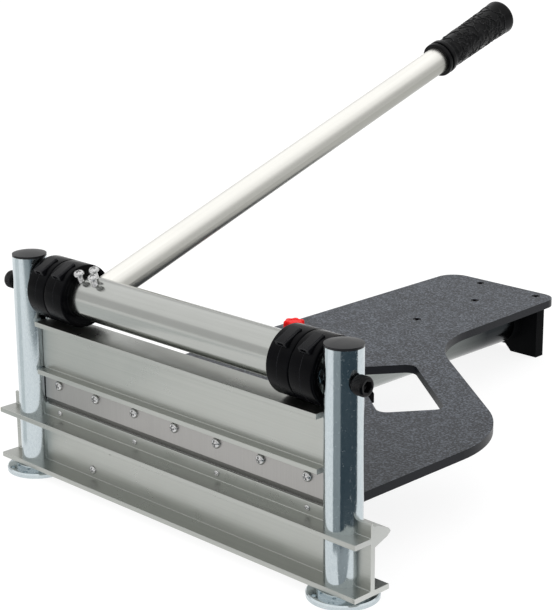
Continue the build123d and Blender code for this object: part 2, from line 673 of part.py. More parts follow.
# ===========================================================================
# Stop knob on the table
# ===========================================================================
with BuildPart() as knob_stud:
    with Locations((KNOB_X, KNOB_Y, TABLE_TOP + KNOB_BASE + STUD_UP)):
        Cylinder(STUD_R, TABLE_T + KNOB_BASE + STUD_UP,
                 align=(Align.CENTER, Align.CENTER, Align.MAX))
    with Locations((KNOB_X, KNOB_Y, TABLE_TOP - TABLE_T)):
        Cylinder(*STUD_HEAD, align=(Align.CENTER, Align.CENTER, Align.MAX))
    with Locations((KNOB_X, KNOB_Y, TABLE_TOP)):
        Cylinder(STUD_WASHER_R, KNOB_BASE, align=(Align.CENTER, Align.CENTER, Align.MIN))
save(knob_stud.part, "knob_stud")

with BuildPart() as stop_knob:
    with BuildSketch(Plane.XY.offset(TABLE_TOP + KNOB_BASE)):
        with Locations((KNOB_X, KNOB_Y)):
            Circle(KNOB_R)
            with PolarLocations(LOBE_AT, LOBES):
                Circle(LOBE_R)
    extrude(amount=KNOB_H, taper=KNOB_TAPER)
    with Locations((KNOB_X, KNOB_Y, TABLE_TOP + KNOB_BASE)):
        Cylinder(STUD_R + FIT, 2 * STUD_UP + FIT, mode=Mode.SUBTRACT)
save(stop_knob.part, "stop_knob")
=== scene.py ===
"""Visual model of a lever-operated tile cutter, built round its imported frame.

Each sub-assembly is a class that keeps its sizes in metres, makes the meshes that
the frame lacks and dresses every node with its own finish.
"""
import logging
import math
from dataclasses import dataclass, field
from enum import Enum

import bpy
import numpy as np
from mathutils import Matrix, Vector


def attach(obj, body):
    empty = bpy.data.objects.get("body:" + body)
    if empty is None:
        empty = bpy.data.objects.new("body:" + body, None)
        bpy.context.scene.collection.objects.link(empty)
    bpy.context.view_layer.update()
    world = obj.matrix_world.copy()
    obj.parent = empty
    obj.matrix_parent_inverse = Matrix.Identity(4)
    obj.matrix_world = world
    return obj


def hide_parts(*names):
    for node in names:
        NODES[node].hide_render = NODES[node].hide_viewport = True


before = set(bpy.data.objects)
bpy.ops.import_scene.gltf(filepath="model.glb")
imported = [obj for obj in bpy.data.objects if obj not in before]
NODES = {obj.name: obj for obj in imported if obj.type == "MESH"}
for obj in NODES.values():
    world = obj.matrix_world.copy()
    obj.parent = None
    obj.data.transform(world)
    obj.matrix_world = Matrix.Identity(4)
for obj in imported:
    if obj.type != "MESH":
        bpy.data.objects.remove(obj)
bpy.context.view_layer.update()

log = logging.getLogger("tile_cutter")

Point = tuple[float, float, float]
Tone = tuple[float, float, float]


class Body(str, Enum):
    """Moving groups of the cutter."""

    FRAME = "frame"
    LEVER = "lever"
    CUTTER = "cutter"
    KNOB = "knob"


# ---------------------------------------------------------------------------
# Surfaces worked out with numpy
# ---------------------------------------------------------------------------
@dataclass(frozen=True)
class Axle:
    """A line in space with two square directions, round which a piece is turned."""

    origin: Point
    direction: Point
    side: Point = (1.0, 0.0, 0.0)

    def vectors(self) -> tuple[np.ndarray, np.ndarray, np.ndarray, np.ndarray]:
        """Work out the axle's origin and its three unit vectors.

        Returns:
            Origin, first cross direction, second cross direction and the axis.
        """
        axis = np.array(self.direction, float)
        axis = axis / np.linalg.norm(axis)
        first = np.array(self.side, float)
        first = first - axis * first.dot(axis)
        first = first / np.linalg.norm(first)
        return np.array(self.origin, float), first, np.cross(axis, first), axis


def turned(radius: np.ndarray, height: np.ndarray, axle: Axle) -> np.ndarray:
    """Place a grid of radii and heights round an axle.

    A point is origin + radius * (cos t * first + sin t * second) + height * axis,
    with t running once round over the columns.

    Args:
        radius: Rows by columns, metres from the axle.
        height: Rows by columns, metres along the axle.
        axle: The line the surface is turned about.

    Returns:
        Rows by columns by 3 array of points.
    """
    origin, first, second, axis = axle.vectors()
    turn = np.linspace(0.0, 2.0 * math.pi, radius.shape[1], endpoint=False)
    across = np.cos(turn)[:, None] * first + np.sin(turn)[:, None] * second
    return origin + radius[..., None] * across[None] + height[..., None] * axis


def skin(rows: np.ndarray, ring: bool = False) -> tuple[np.ndarray, np.ndarray]:
    """Close a grid of points, round its columns, into a watertight skin.

    Neighbouring points make quads. The first and last rows close on their mean
    point, or on each other when the section itself is a ring.

    Args:
        rows: Rows by columns by 3 array of points.
        ring: True if the last row joins the first.

    Returns:
        Vertices and triangles, both as arrays, with the faces outwards.
    """
    count, columns = rows.shape[:2]
    index = np.arange(count * columns).reshape(count, columns)
    low = index if ring else index[:-1]
    high = np.roll(index, -1, axis=0) if ring else index[1:]
    next_low, next_high = np.roll(low, -1, axis=1), np.roll(high, -1, axis=1)
    first = np.stack([low, next_low, next_high], axis=-1).reshape(-1, 3)
    second = np.stack([low, next_high, high], axis=-1).reshape(-1, 3)
    points = rows.reshape(-1, 3)
    faces = [first, second]
    if not ring:
        points = np.vstack([points, rows[0].mean(axis=0), rows[-1].mean(axis=0)])
        start, end = count * columns, count * columns + 1
        rim, tail = index[0], index[-1]
        faces.append(np.stack(
            [np.full(columns, start), np.roll(rim, -1), rim], axis=-1))
        faces.append(np.stack(
            [np.full(columns, end), tail, np.roll(tail, -1)], axis=-1))
    triangles = np.concatenate(faces)
    corner = points[triangles]
    volume = np.einsum("ij,ij->i", corner[:, 0],
                       np.cross(corner[:, 1], corner[:, 2])).sum()
    if volume < 0.0:
        triangles = triangles[:, ::-1]
    return points, triangles


def make_piece(name: str, skins: list[tuple[np.ndarray, np.ndarray]],
               crease: float = 40.0) -> bpy.types.Object:
    """Put one or more closed skins into one mesh object at the origin.

    Args:
        name: Name of the object and its mesh.
        skins: Vertices and triangles of each closed skin.
        crease: Edges sharper than this many degrees stay crisp.

    Returns:
        The linked object.
    """
    sizes = [len(points) for points, _ in skins]
    starts = np.concatenate([[0], np.cumsum(sizes)[:-1]])
    points = np.concatenate([points for points, _ in skins])
    faces = np.concatenate([tris + start for (_, tris), start in zip(skins, starts)])
    mesh = bpy.data.meshes.new(name)
    mesh.from_pydata(points.tolist(), [], faces.tolist())
    mesh.validate()
    mesh.polygons.foreach_set("use_smooth", np.ones(len(mesh.polygons), bool))
    mesh.set_sharp_from_angle(angle=math.radians(crease))
    mesh.update()
    piece = bpy.data.objects.new(name, mesh)
    bpy.context.scene.collection.objects.link(piece)
    return piece


def rounded_profile(corners: list[tuple[float, float, float]],
                    steps: int = 5) -> np.ndarray:
    """Round the inner corners of a profile line with short curves.

    Each corner of radius r is swapped for a quadratic curve that starts and ends
    r away from it, along its two sides, and bends at the corner itself.

    Args:
        corners: Radius, height and rounding of each corner, in metres.
        steps: Points on each rounded corner.

    Returns:
        Points by 2 array of radius and height.
    """
    line: list[np.ndarray] = []
    spots = [np.array(corner[:2]) for corner in corners]
    for place, (spot, corner) in enumerate(zip(spots, corners)):
        if corner[2] == 0.0 or place in (0, len(spots) - 1):
            line.append(spot[None])
            continue
        before, after = spots[place - 1] - spot, spots[place + 1] - spot
        start = spot + before / np.linalg.norm(before) * corner[2]
        end = spot + after / np.linalg.norm(after) * corner[2]
        t = np.linspace(0.0, 1.0, steps)[:, None]
        line.append((1 - t) ** 2 * start + 2 * t * (1 - t) * spot + t ** 2 * end)
    return np.concatenate(line)


def smooth_step(value: np.ndarray, low: float, high: float) -> np.ndarray:
    """Rise from 0 at low to 1 at high along 3 t squared minus 2 t cubed.

    Args:
        value: Values to map.
        low: Value that gives 0.
        high: Value that gives 1.

    Returns:
        Array of the same shape.
    """
    t = np.clip((value - low) / (high - low), 0.0, 1.0)
    return t * t * (3.0 - 2.0 * t)


# ---------------------------------------------------------------------------
# Finishes
# ---------------------------------------------------------------------------
class Graph:
    """Node tree of one material on Object coordinates."""

    def __init__(self, name: str) -> None:
        """Start a material with a Principled shader.

        Args:
            name: Name of the material.
        """
        self.material = bpy.data.materials.new(name)
        self.material.use_nodes = True
        self.tree = self.material.node_tree
        self.shader = self.tree.nodes["Principled BSDF"]
        self.place = self.tree.nodes.new("ShaderNodeTexCoord")

    def join(self, source: bpy.types.NodeSocket, target: bpy.types.NodeSocket) -> None:
        """Link one socket to another."""
        self.tree.links.new(source, target)

    def settle(self, **values: float | tuple) -> None:
        """Set constants on the shader's own sockets, with _ for a space."""
        for name, value in values.items():
            self.shader.inputs[name.replace("_", " ")].default_value = value

    def noise(self, stretch: Point, detail: float = 4.0, rough: float = 0.55,
              warp: float = 0.0) -> bpy.types.NodeSocket:
        """Fractal noise whose grain differs along X, Y and Z.

        Args:
            stretch: Grains per metre along each axis.
            detail: Octaves of the noise.
            rough: Share of each finer octave.
            warp: Distortion of the noise.

        Returns:
            The noise's value socket, about 0.3 to 0.7.
        """
        mapping = self.tree.nodes.new("ShaderNodeMapping")
        mapping.inputs["Scale"].default_value = stretch
        self.join(self.place.outputs["Object"], mapping.inputs["Vector"])
        node = self.tree.nodes.new("ShaderNodeTexNoise")
        node.inputs["Scale"].default_value = 1.0
        node.inputs["Detail"].default_value = detail
        node.inputs["Roughness"].default_value = rough
        node.inputs["Distortion"].default_value = warp
        self.join(mapping.outputs["Vector"], node.inputs["Vector"])
        return node.outputs["Fac"]

    def along(self, axis: str) -> bpy.types.NodeSocket:
        """One component of the Object coordinate."""
        split = self.tree.nodes.new("ShaderNodeSeparateXYZ")
        self.join(self.place.outputs["Object"], split.inputs[0])
        return split.outputs[axis]

    def facing(self, axis: str) -> bpy.types.NodeSocket:
        """How squarely a face looks along an axis, from 0 to 1, either way."""
        face = self.tree.nodes.new("ShaderNodeNewGeometry")
        split = self.tree.nodes.new("ShaderNodeSeparateXYZ")
        self.join(face.outputs["True Normal"], split.inputs[0])
        return self.math("ABSOLUTE", split.outputs[axis], 0.0)

    def rise(self) -> bpy.types.NodeSocket:
        """How far a face looks up: 1 upwards, -1 downwards."""
        face = self.tree.nodes.new("ShaderNodeNewGeometry")
        split = self.tree.nodes.new("ShaderNodeSeparateXYZ")
        self.join(face.outputs["Normal"], split.inputs[0])
        return split.outputs["Z"]

    def spread(self, value: bpy.types.NodeSocket, low: float, high: float,
               to_low: float = 0.0, to_high: float = 1.0) -> bpy.types.NodeSocket:
        """Map a span of values onto another, clamped at both ends."""
        node = self.tree.nodes.new("ShaderNodeMapRange")
        bounds = (low, high, to_low, to_high)
        names = ("From Min", "From Max", "To Min", "To Max")
        for name, bound in zip(names, bounds):
            node.inputs[name].default_value = bound
        self.join(value, node.inputs["Value"])
        return node.outputs["Result"]

    def math(self, what: str, first: bpy.types.NodeSocket,
             second: bpy.types.NodeSocket | float) -> bpy.types.NodeSocket:
        """Combine two values with one arithmetic operation."""
        node = self.tree.nodes.new("ShaderNodeMath")
        node.operation = what
        self.join(first, node.inputs[0])
        if isinstance(second, float):
            node.inputs[1].default_value = second
        else:
            self.join(second, node.inputs[1])
        return node.outputs[0]

    def blend(self, share: bpy.types.NodeSocket, first: Tone | bpy.types.NodeSocket,
              second: Tone | bpy.types.NodeSocket) -> bpy.types.NodeSocket:
        """Mix two colours, each given as a tone or as a socket."""
        node = self.tree.nodes.new("ShaderNodeMix")
        node.data_type = "RGBA"
        self.join(share, node.inputs[0])
        for socket, colour in ((node.inputs[6], first), (node.inputs[7], second)):
            if isinstance(colour, tuple):
                socket.default_value = (*colour, 1.0)
            else:
                self.join(colour, socket)
        return node.outputs[2]

    def painted_edge_highlight(self, radius: float) -> bpy.types.NodeSocket:
        """Mask of the outer edges for a painted highlight, from how far a bevelled normal leans over.

        Args:
            radius: Width of the painted highlight on the edges, in metres.

        Returns:
            0 on the flats, rising to 1 on the edges.
        """
        bevel = self.tree.nodes.new("ShaderNodeBevel")
        bevel.samples = 4
        bevel.inputs["Radius"].default_value = radius
        flat = self.tree.nodes.new("ShaderNodeNewGeometry")
        dot = self.tree.nodes.new("ShaderNodeVectorMath")
        dot.operation = "DOT_PRODUCT"
        self.join(bevel.outputs[0], dot.inputs[0])
        self.join(flat.outputs["Normal"], dot.inputs[1])
        return self.spread(dot.outputs["Value"], 0.995, 0.80)

    def bump(self, height: bpy.types.NodeSocket, depth: float,
             below: bpy.types.NodeSocket | None = None) -> bpy.types.NodeSocket:
        """Relief of a given depth, on top of another when one is given.

        Args:
            height: Height field of about 0 to 1.
            depth: Metres that a full step of the field stands for.
            below: Normal to start from.

        Returns:
            The normal socket, also linked to the shader.
        """
        node = self.tree.nodes.new("ShaderNodeBump")
        node.inputs["Strength"].default_value = 1.0
        node.inputs["Distance"].default_value = depth
        self.join(height, node.inputs["Height"])
        if below is not None:
            self.join(below, node.inputs["Normal"])
        self.join(node.outputs[0], self.shader.inputs["Normal"])
        return node.outputs[0]


@dataclass(frozen=True)
class Finish:
    """What every finish has: a name, two tones and a span of roughness."""

    name: str
    light: Tone
    dark: Tone
    smooth: float = 0.25
    rough: float = 0.40

    def tones(self, graph: Graph, share: bpy.types.NodeSocket,
              edge_highlight: Tone | None = None, highlight_width: float = 0.0006) -> None:
        """Link the mix of the two tones, with a painted highlight on the outer edges if a tone for it is given.

        Args:
            graph: Node tree to add to.
            share: 0 for dark and 1 for light.
            edge_highlight: Tone of the painted highlight on the outer edges.
            highlight_width: Width of the painted highlight in metres.
        """
        colour = graph.blend(share, self.dark, self.light)
        # Painted highlight: the outer edges blend towards a paler tone.
        if edge_highlight is not None:
            colour = graph.blend(graph.painted_edge_highlight(highlight_width), colour, edge_highlight)
        graph.join(colour, graph.shader.inputs["Base Color"])

    def roughness(self, graph: Graph, share: bpy.types.NodeSocket) -> None:
        """Link the roughness, from smooth where share is low to rough."""
        value = graph.spread(share, 0.35, 0.65, self.smooth, self.rough)
        graph.join(value, graph.shader.inputs["Roughness"])

    def build(self) -> bpy.types.Material:
        """Make the material."""
        raise NotImplementedError


@dataclass(frozen=True)
class DrawnMetal(Finish):
    """Extruded, drawn or ground metal with fine lines along one direction."""

    grain: Point = (6.0, 900.0, 900.0)
    blotch: float = 22.0
    relief: float = 0.00002
    sawn_axis: str = ""
    sawn_tone: Tone = (0.62, 0.63, 0.61)
    # Painted shade: a darker tone along one axis, full at the first value and gone at the second.
    painted_shade_band: tuple[str, float, float] | None = None
    painted_shade_tone: Tone = (0.1, 0.1, 0.1)
    # Tone painted on downward faces, as painted shade.
    under: Tone | None = None

    def build(self) -> bpy.types.Material:
        """Fine lines, slow blotches and matt sawn ends, with painted shade along an axis or on the underside
        where given.

        Returns:
            The material.
        """
        graph = Graph(self.name)
        graph.settle(Metallic=1.0)
        lines = graph.noise(self.grain, 3.0, 0.6)
        cloud = graph.noise((self.blotch,) * 3, 5.0, 0.6, 0.4)
        both = graph.math("ADD", graph.math("MULTIPLY", lines, 0.6),
                          graph.math("MULTIPLY", cloud, 0.4))
        share = graph.spread(both, 0.36, 0.64)
        colour = graph.blend(share, self.dark, self.light)
        # Painted shade: blend towards the darker tone along one axis.
        if self.painted_shade_band:
            axis, full, none = self.painted_shade_band
            shade_share = graph.spread(graph.along(axis), full, none, 1.0, 0.0)
            colour = graph.blend(shade_share, colour, self.painted_shade_tone)
        # Painted shade: downward faces blend towards the darker underside tone.
        if self.under:
            underside_shade = graph.spread(graph.rise(), -0.05, 0.80, 1.0, 0.0)
            colour = graph.blend(underside_shade, colour, self.under)
        rough = graph.spread(cloud, 0.35, 0.65, self.smooth, self.rough)
        height = lines
        if self.sawn_axis:
            cut = graph.spread(graph.facing(self.sawn_axis), 0.7, 0.95)
            colour = graph.blend(cut, colour, self.sawn_tone)
            marks = graph.noise((900.0, 260.0, 1400.0), 5.0, 0.7, 0.8)
            rough = graph.math("MAXIMUM", rough, graph.math("MULTIPLY", cut, 0.55))
            height = graph.math("ADD", lines, graph.math(
                "MULTIPLY", graph.math("MULTIPLY", marks, cut), 6.0))
        graph.join(colour, graph.shader.inputs["Base Color"])
        graph.join(rough, graph.shader.inputs["Roughness"])
        graph.bump(height, self.relief)
        return graph.material


@dataclass(frozen=True)
class PlatedZinc(Finish):
    """Bright zinc plate: bluish, mottled, with small bright specks."""

    spangle: float = 640.0
    relief: float = 0.000040
    matt_speck: float = 0.36

    def build(self) -> bpy.types.Material:
        """Mottled tones, wavy relief and pinhead specks.

        Returns:
            The material.
        """
        graph = Graph(self.name)
        graph.settle(Metallic=1.0)
        grain = (self.spangle, self.spangle, self.spangle * 0.45)
        mottle = graph.noise(grain, 6.0, 0.65, 0.5)
        slow = graph.noise((60.0, 60.0, 14.0), 3.0, 0.5)
        share = graph.spread(graph.math("ADD", graph.math("MULTIPLY", mottle, 0.7),
                                        graph.math("MULTIPLY", slow, 0.3)), 0.38, 0.62)
        # Painted highlight: the zinc's outer edges blend towards a paler tone.
        self.tones(graph, share, (0.72, 0.75, 0.76), 0.0005)
        specks = graph.spread(mottle, 0.50, 0.70, 0.0, self.matt_speck)
        rough = graph.spread(slow, 0.35, 0.65, self.smooth, self.rough)
        graph.join(graph.math("MAXIMUM", rough, specks),
                   graph.shader.inputs["Roughness"])
        wave = graph.math("ADD", graph.math("MULTIPLY", mottle, 0.5), slow)
        graph.bump(wave, self.relief)
        return graph.material


@dataclass(frozen=True)
class BrightSteel(Finish):
    """Polished and plated small steel parts."""

    relief: float = 0.00002

    def build(self) -> bpy.types.Material:
        """Faint tooling marks over a bright face.

        Returns:
            The material.
        """
        graph = Graph(self.name)
        graph.settle(Metallic=1.0)
        marks = graph.noise((1400.0,) * 3, 4.0, 0.6)
        self.tones(graph, graph.spread(marks, 0.35, 0.65))
        self.roughness(graph, marks)
        graph.bump(marks, self.relief)
        return graph.material


@dataclass(frozen=True)
class Moulded(Finish):
    """Moulded plastic or rubber with a fine skin texture."""

    skin_scale: float = 1800.0
    relief: float = 0.00004
    shine: float = 0.5
    # Tone of a painted highlight on the outer edges, or none.
    edge_highlight: Tone | None = None
    coat: float = 0.0

    def build(self) -> bpy.types.Material:
        """Fine skin, slow tone changes and a painted highlight on the outer edges when a tone for it is given.

        Returns:
            The material.
        """
        graph = Graph(self.name)
        graph.settle(Specular_IOR_Level=self.shine, Coat_Weight=self.coat,
                     Coat_Roughness=0.12)
        fine = graph.noise((self.skin_scale,) * 3, 3.0, 0.6)
        slow = graph.noise((45.0, 45.0, 45.0), 4.0, 0.6, 0.6)
        self.tones(graph, graph.spread(slow, 0.35, 0.65), self.edge_highlight, 0.0005)
        self.roughness(graph, slow)
        graph.bump(fine, self.relief)
        return graph.material


@dataclass(frozen=True)
class PebbledBoard(Finish):
    """Board with a pebbled upper face and plain machined sides."""

    pebble: float = 430.0
    relief: float = 0.00060
    speck: Tone = (0.130, 0.147, 0.175)
    near: Tone = (0.010, 0.011, 0.013)
    near_span: tuple[float, float] = (0.02, 0.34)
    side: Tone = (0.0075, 0.0085, 0.0115)

    def build(self) -> bpy.types.Material:
        """Pebbles with pale tips on top, smooth dark sides.

        Returns:
            The material.
        """
        graph = Graph(self.name)
        pebbles = graph.noise((self.pebble,) * 3, 2.5, 0.65)
        broad = graph.noise((self.pebble * 0.3,) * 3, 3.0, 0.6)
        slow = graph.noise((9.0, 9.0, 9.0), 3.0, 0.5)
        grain = graph.math("ADD", graph.math("MULTIPLY", pebbles, 0.75),
                           graph.math("MULTIPLY", broad, 0.25))
        base = graph.blend(graph.spread(slow, 0.35, 0.65), self.dark, self.light)
        tips = graph.blend(graph.spread(grain, 0.47, 0.62), base, self.speck)
        front = graph.spread(graph.along("Y"), *self.near_span, 0.45, 0.0)
        tips = graph.blend(front, tips, self.near)
        top = graph.spread(graph.facing("Z"), 0.6, 0.9)
        graph.join(graph.spread(top, 0.0, 1.0, 0.12, 0.38),
                   graph.shader.inputs["Specular IOR Level"])
        colour = graph.blend(top, self.side, tips)
        graph.join(colour, graph.shader.inputs["Base Color"])
        rough = graph.spread(top, 0.0, 1.0, self.smooth, self.rough)
        graph.join(rough, graph.shader.inputs["Roughness"])
        graph.bump(graph.math("MULTIPLY", grain, graph.spread(top, 0.0, 1.0, 0.15, 1.0)),
                   self.relief)
        return graph.material


class Finishes(Enum):
    """Every finish on the cutter."""

    ALUMINIUM = DrawnMetal("satin_aluminium", (0.445, 0.455, 0.43), (0.405, 0.418, 0.395),
                           0.26, 0.36, sawn_axis="X", relief=0.000003)
    ROLLER = DrawnMetal("roller_aluminium", (0.43, 0.44, 0.42), (0.40, 0.41, 0.39),
                        0.16, 0.20, relief=0.000002)
    # The support tube darkens towards the leg, from Y 0.40 to 0.51: painted shade.
    TUBE = DrawnMetal("support_tube_metal", (0.30, 0.32, 0.31), (0.25, 0.27, 0.26),
                      0.14, 0.20, grain=(300.0, 4.0, 300.0), relief=0.000004,
                      painted_shade_band=("Y", 0.510, 0.400), painted_shade_tone=(0.014, 0.017, 0.019))
    # The blade's ground bevel, below Z 0.0728, takes a darker tone: painted shade.
    BLADE = DrawnMetal("ground_blade_steel", (0.375, 0.367, 0.355), (0.345, 0.338, 0.328),
                       0.28, 0.38, grain=(700.0, 700.0, 14.0), relief=0.000004,
                       painted_shade_band=("Z", 0.0728, 0.0730), painted_shade_tone=(0.25, 0.245, 0.24))
    # The handle tube is painted darker on its downward faces: painted shade.
    HANDLE = DrawnMetal("warm_handle_tube", (0.88, 0.87, 0.825), (0.83, 0.82, 0.775),
                        0.32, 0.38, grain=(700.0, 5.0, 14.0), relief=0.000003,
                        under=(0.36, 0.36, 0.33))
    ZINC = PlatedZinc("bright_zinc_plate", (0.57, 0.63, 0.65), (0.49, 0.55, 0.58),
                      0.10, 0.18)
    SCREW = BrightSteel("polished_screw_steel", (0.74, 0.74, 0.73), (0.36, 0.36, 0.37),
                        0.08, 0.20)
    SPRING = BrightSteel("spring_wire", (0.42, 0.42, 0.43), (0.25, 0.25, 0.27),
                         0.25, 0.40)
    OXIDE = Moulded("black_oxide_steel", (0.003, 0.003, 0.0035), (0.0015, 0.0015, 0.0018),
                    0.08, 0.12, shine=0.14, relief=0.000003)
    # The paler tones on the outer edges of the ring, latch, leg and grip finishes are painted highlights.
    RING = Moulded("black_ring_plastic", (0.0022, 0.0023, 0.0030),
                   (0.0014, 0.0015, 0.0020), 0.20, 0.28, shine=0.045, relief=0.000006, edge_highlight=(0.035, 0.036, 0.040))
    # The latch plastic is a paler copy of the ring's black plastic: painted sheen on the latch's upward face.
    LATCH_PAINTED_SHEEN = Moulded("latch_plastic_painted_sheen", (0.006, 0.0062, 0.0075),
                    (0.004, 0.0042, 0.005), 0.22, 0.30, shine=0.10, relief=0.000006, edge_highlight=(0.04, 0.04, 0.045))
    CAP = Moulded("black_cap_plastic", (0.012, 0.0125, 0.014), (0.008, 0.0085, 0.0095),
                  0.28, 0.38, shine=0.22, relief=0.00002)
    LEG = Moulded("black_leg_board", (0.0038, 0.0040, 0.0044), (0.0024, 0.0026, 0.0029),
                  0.45, 0.60, skin_scale=900.0, relief=0.00005, shine=0.02,
                  edge_highlight=(0.010, 0.010, 0.012))
    RUBBER = Moulded("black_grip_rubber", (0.0026, 0.0027, 0.0032),
                     (0.0014, 0.0015, 0.0018), 0.16, 0.26, shine=0.11, relief=0.00001, edge_highlight=(0.055, 0.055, 0.058))
    NYLON = Moulded("pale_nylon", (0.72, 0.70, 0.64), (0.60, 0.58, 0.52), 0.35, 0.5)
    STRIP = Moulded("grey_anvil_strip", (0.085, 0.080, 0.080), (0.055, 0.052, 0.052),
                    0.40, 0.55)
    RED = Moulded("red_knob_plastic", (0.96, 0.024, 0.022), (0.84, 0.014, 0.014),
                  0.28, 0.40, shine=0.06, relief=0.00002)
    BOARD = PebbledBoard("pebbled_board", (0.019, 0.022, 0.029), (0.013, 0.0150, 0.020),
                         0.36, 0.55)


class Wardrobe:
    """Makes each finish once and puts it on nodes and pieces."""

    def __init__(self) -> None:
        """Start with no material made."""
        self.made: dict[str, bpy.types.Material] = {}

    def material(self, finish: Finishes) -> bpy.types.Material:
        """Make a finish's material, or find the one already made."""
        if finish.name not in self.made:
            self.made[finish.name] = finish.value.build()
        return self.made[finish.name]

    def dress_node(self, finish: Finishes, *names: str) -> None:
        """Put a finish on carried-over nodes.

        Args:
            finish: The finish.
            names: Names of the nodes.
        """
        for name in names:
            for place in NODES[name].material_slots:
                place.material = self.material(finish)
            log.info("node %s wears %s", name, finish.value.name)

    def dress_piece(self, piece: bpy.types.Object, finish: Finishes, body: Body,
                    slot: str, *replaced: str) -> None:
        """Put a finish on a new piece and tie it to its body.

        Args:
            piece: The new object.
            finish: The finish.
            body: Body that the piece moves with.
            slot: Not used.
            replaced: Nodes that the piece stands for.
        """
        piece.data.materials.clear()
        piece.data.materials.append(self.material(finish))
        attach(piece, body.value)
        if replaced:
            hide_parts(*replaced)
        log.info("piece %s rides %s", piece.name, body.value)


# ---------------------------------------------------------------------------
# Screws
# ---------------------------------------------------------------------------
@dataclass(frozen=True)
class PanScrew:
    """Cross-head screw with a domed head and a threaded shank."""

    head_radius: float
    head_height: float
    shank_radius: float
    shank_length: float
    pitch: float = 0.0008
    columns: int = 72

    def head(self) -> tuple[np.ndarray, np.ndarray]:
        """Domed head with a tapered cross cut into it.

        The height is h * (1 - (r / R)^3)^0.45. Inside either arm of the cross it
        drops by a depth that falls off towards the arm's end.

        Returns:
            Radius and height grids from the middle to the rim.
        """
        t = np.linspace(0.03, 1.0, 26)[:, None]
        radius = self.head_radius * np.sin(t * math.pi / 2.0)
        radius = np.repeat(radius, self.columns, axis=1)
        share = radius / self.head_radius
        height = self.head_height * np.clip(1.0 - share ** 3, 0.0, 1.0) ** 0.45
        turn = np.linspace(0.0, 2.0 * math.pi, self.columns, endpoint=False)[None]
        x, y = np.abs(share * np.cos(turn)), np.abs(share * np.sin(turn))
        arm = np.maximum(smooth_step(-x, -0.19, -0.13) * smooth_step(-y, -0.62, -0.50),
                         smooth_step(-y, -0.19, -0.13) * smooth_step(-x, -0.62, -0.50))
        height = height - arm * self.head_height * (0.62 - 0.35 * share)
        return radius, height

    def shank(self) -> tuple[np.ndarray, np.ndarray]:
        """Thread whose radius is a triangle wave of height and turn, to a point.

        Returns:
            Radius and height grids from below the head to the tip.
        """
        count = max(8, int(self.shank_length / self.pitch * 4))
        height = np.linspace(0.0, -self.shank_length, count)[:, None]
        turn = np.linspace(0.0, 1.0, self.columns, endpoint=False)[None]
        wave = np.abs(((height / self.pitch + turn) % 1.0) - 0.5) * 2.0
        fade = smooth_step(-height, 0.0, self.pitch)
        radius = self.shank_radius - 0.14 * self.shank_radius * wave * fade
        tip = smooth_step(-height, self.shank_length - 0.001, self.shank_length)
        return radius * (1.0 - 0.35 * tip), np.repeat(height, self.columns, axis=1)

    def build(self, seat: Axle) -> tuple[np.ndarray, np.ndarray]:
        """Make one closed screw with the underside of its head on the seat."""
        head_r, head_z = self.head()
        shank_r, shank_z = self.shank()
        radius = np.concatenate([head_r, shank_r])
        height = np.concatenate([head_z, shank_z])
        return skin(turned(radius, height, seat))


def spun(turn: float, first: Point, second: Point) -> Point:
    """Turn a cross direction by an angle, so no two crosses line up."""
    mix = np.cos(turn) * np.array(first) + np.sin(turn) * np.array(second)
    return tuple(float(part) for part in mix)


# ---------------------------------------------------------------------------
# Sub-assemblies
# ---------------------------------------------------------------------------
@dataclass
class FixedBeam:
    """Fixed beam with its strip and screws."""

    pitch: float = 0.0508
    fin_screw_height: float = 0.0617
    fin_steps: tuple[int, ...] = (-3, -1, 1, 3)
    web_spots: tuple[tuple[float, float], ...] = ((-0.109, 0.0199), (-0.0838, 0.0446))
    face: float = -0.0014
    fin_screw: PanScrew = PanScrew(0.0027, 0.0018, 0.0015, 0.0052, 0.0005, 48)
    web_screw: PanScrew = PanScrew(0.0040, 0.0022, 0.0025, 0.0138)

    def build(self, wardrobe: Wardrobe) -> None:
        """Dress the beam and make its two sets of screws."""
        wardrobe.dress_node(Finishes.ALUMINIUM, "base_beam")
        wardrobe.dress_node(Finishes.STRIP, "anvil_strip")
        spots = [(step * self.pitch, self.fin_screw_height) for step in self.fin_steps]
        self.screws(wardrobe, "fin_screw_set", self.fin_screw, spots, "fin_screws")
        self.screws(wardrobe, "web_screw_set", self.web_screw, list(self.web_spots),
                    "web_screws")

    def screws(self, wardrobe: Wardrobe, name: str, screw: PanScrew,
               spots: list[tuple[float, float]], node: str) -> None:
        """Make a set of screws on the front face.

        Args:
            wardrobe: Source of the finish.
            name: Name of the piece.
            screw: The screw.
            spots: X and Z of each screw.
            node: Node that the set stands for.
        """
        skins = []
        for place, (x, z) in enumerate(spots):
            side = spun(place * 1.9, (1.0, 0.0, 0.0), (0.0, 0.0, 1.0))
            skins.append(screw.build(Axle((x, self.face, z), (0.0, -1.0, 0.0), side)))
        wardrobe.dress_piece(make_piece(name, skins), Finishes.SCREW, Body.FRAME,
                             "polished_steel", node)


class RimShape(Enum):
    """Outline of one row of a bolt head."""

    ROUND = "round"
    HEX = "hex"
    KNURL = "knurl"


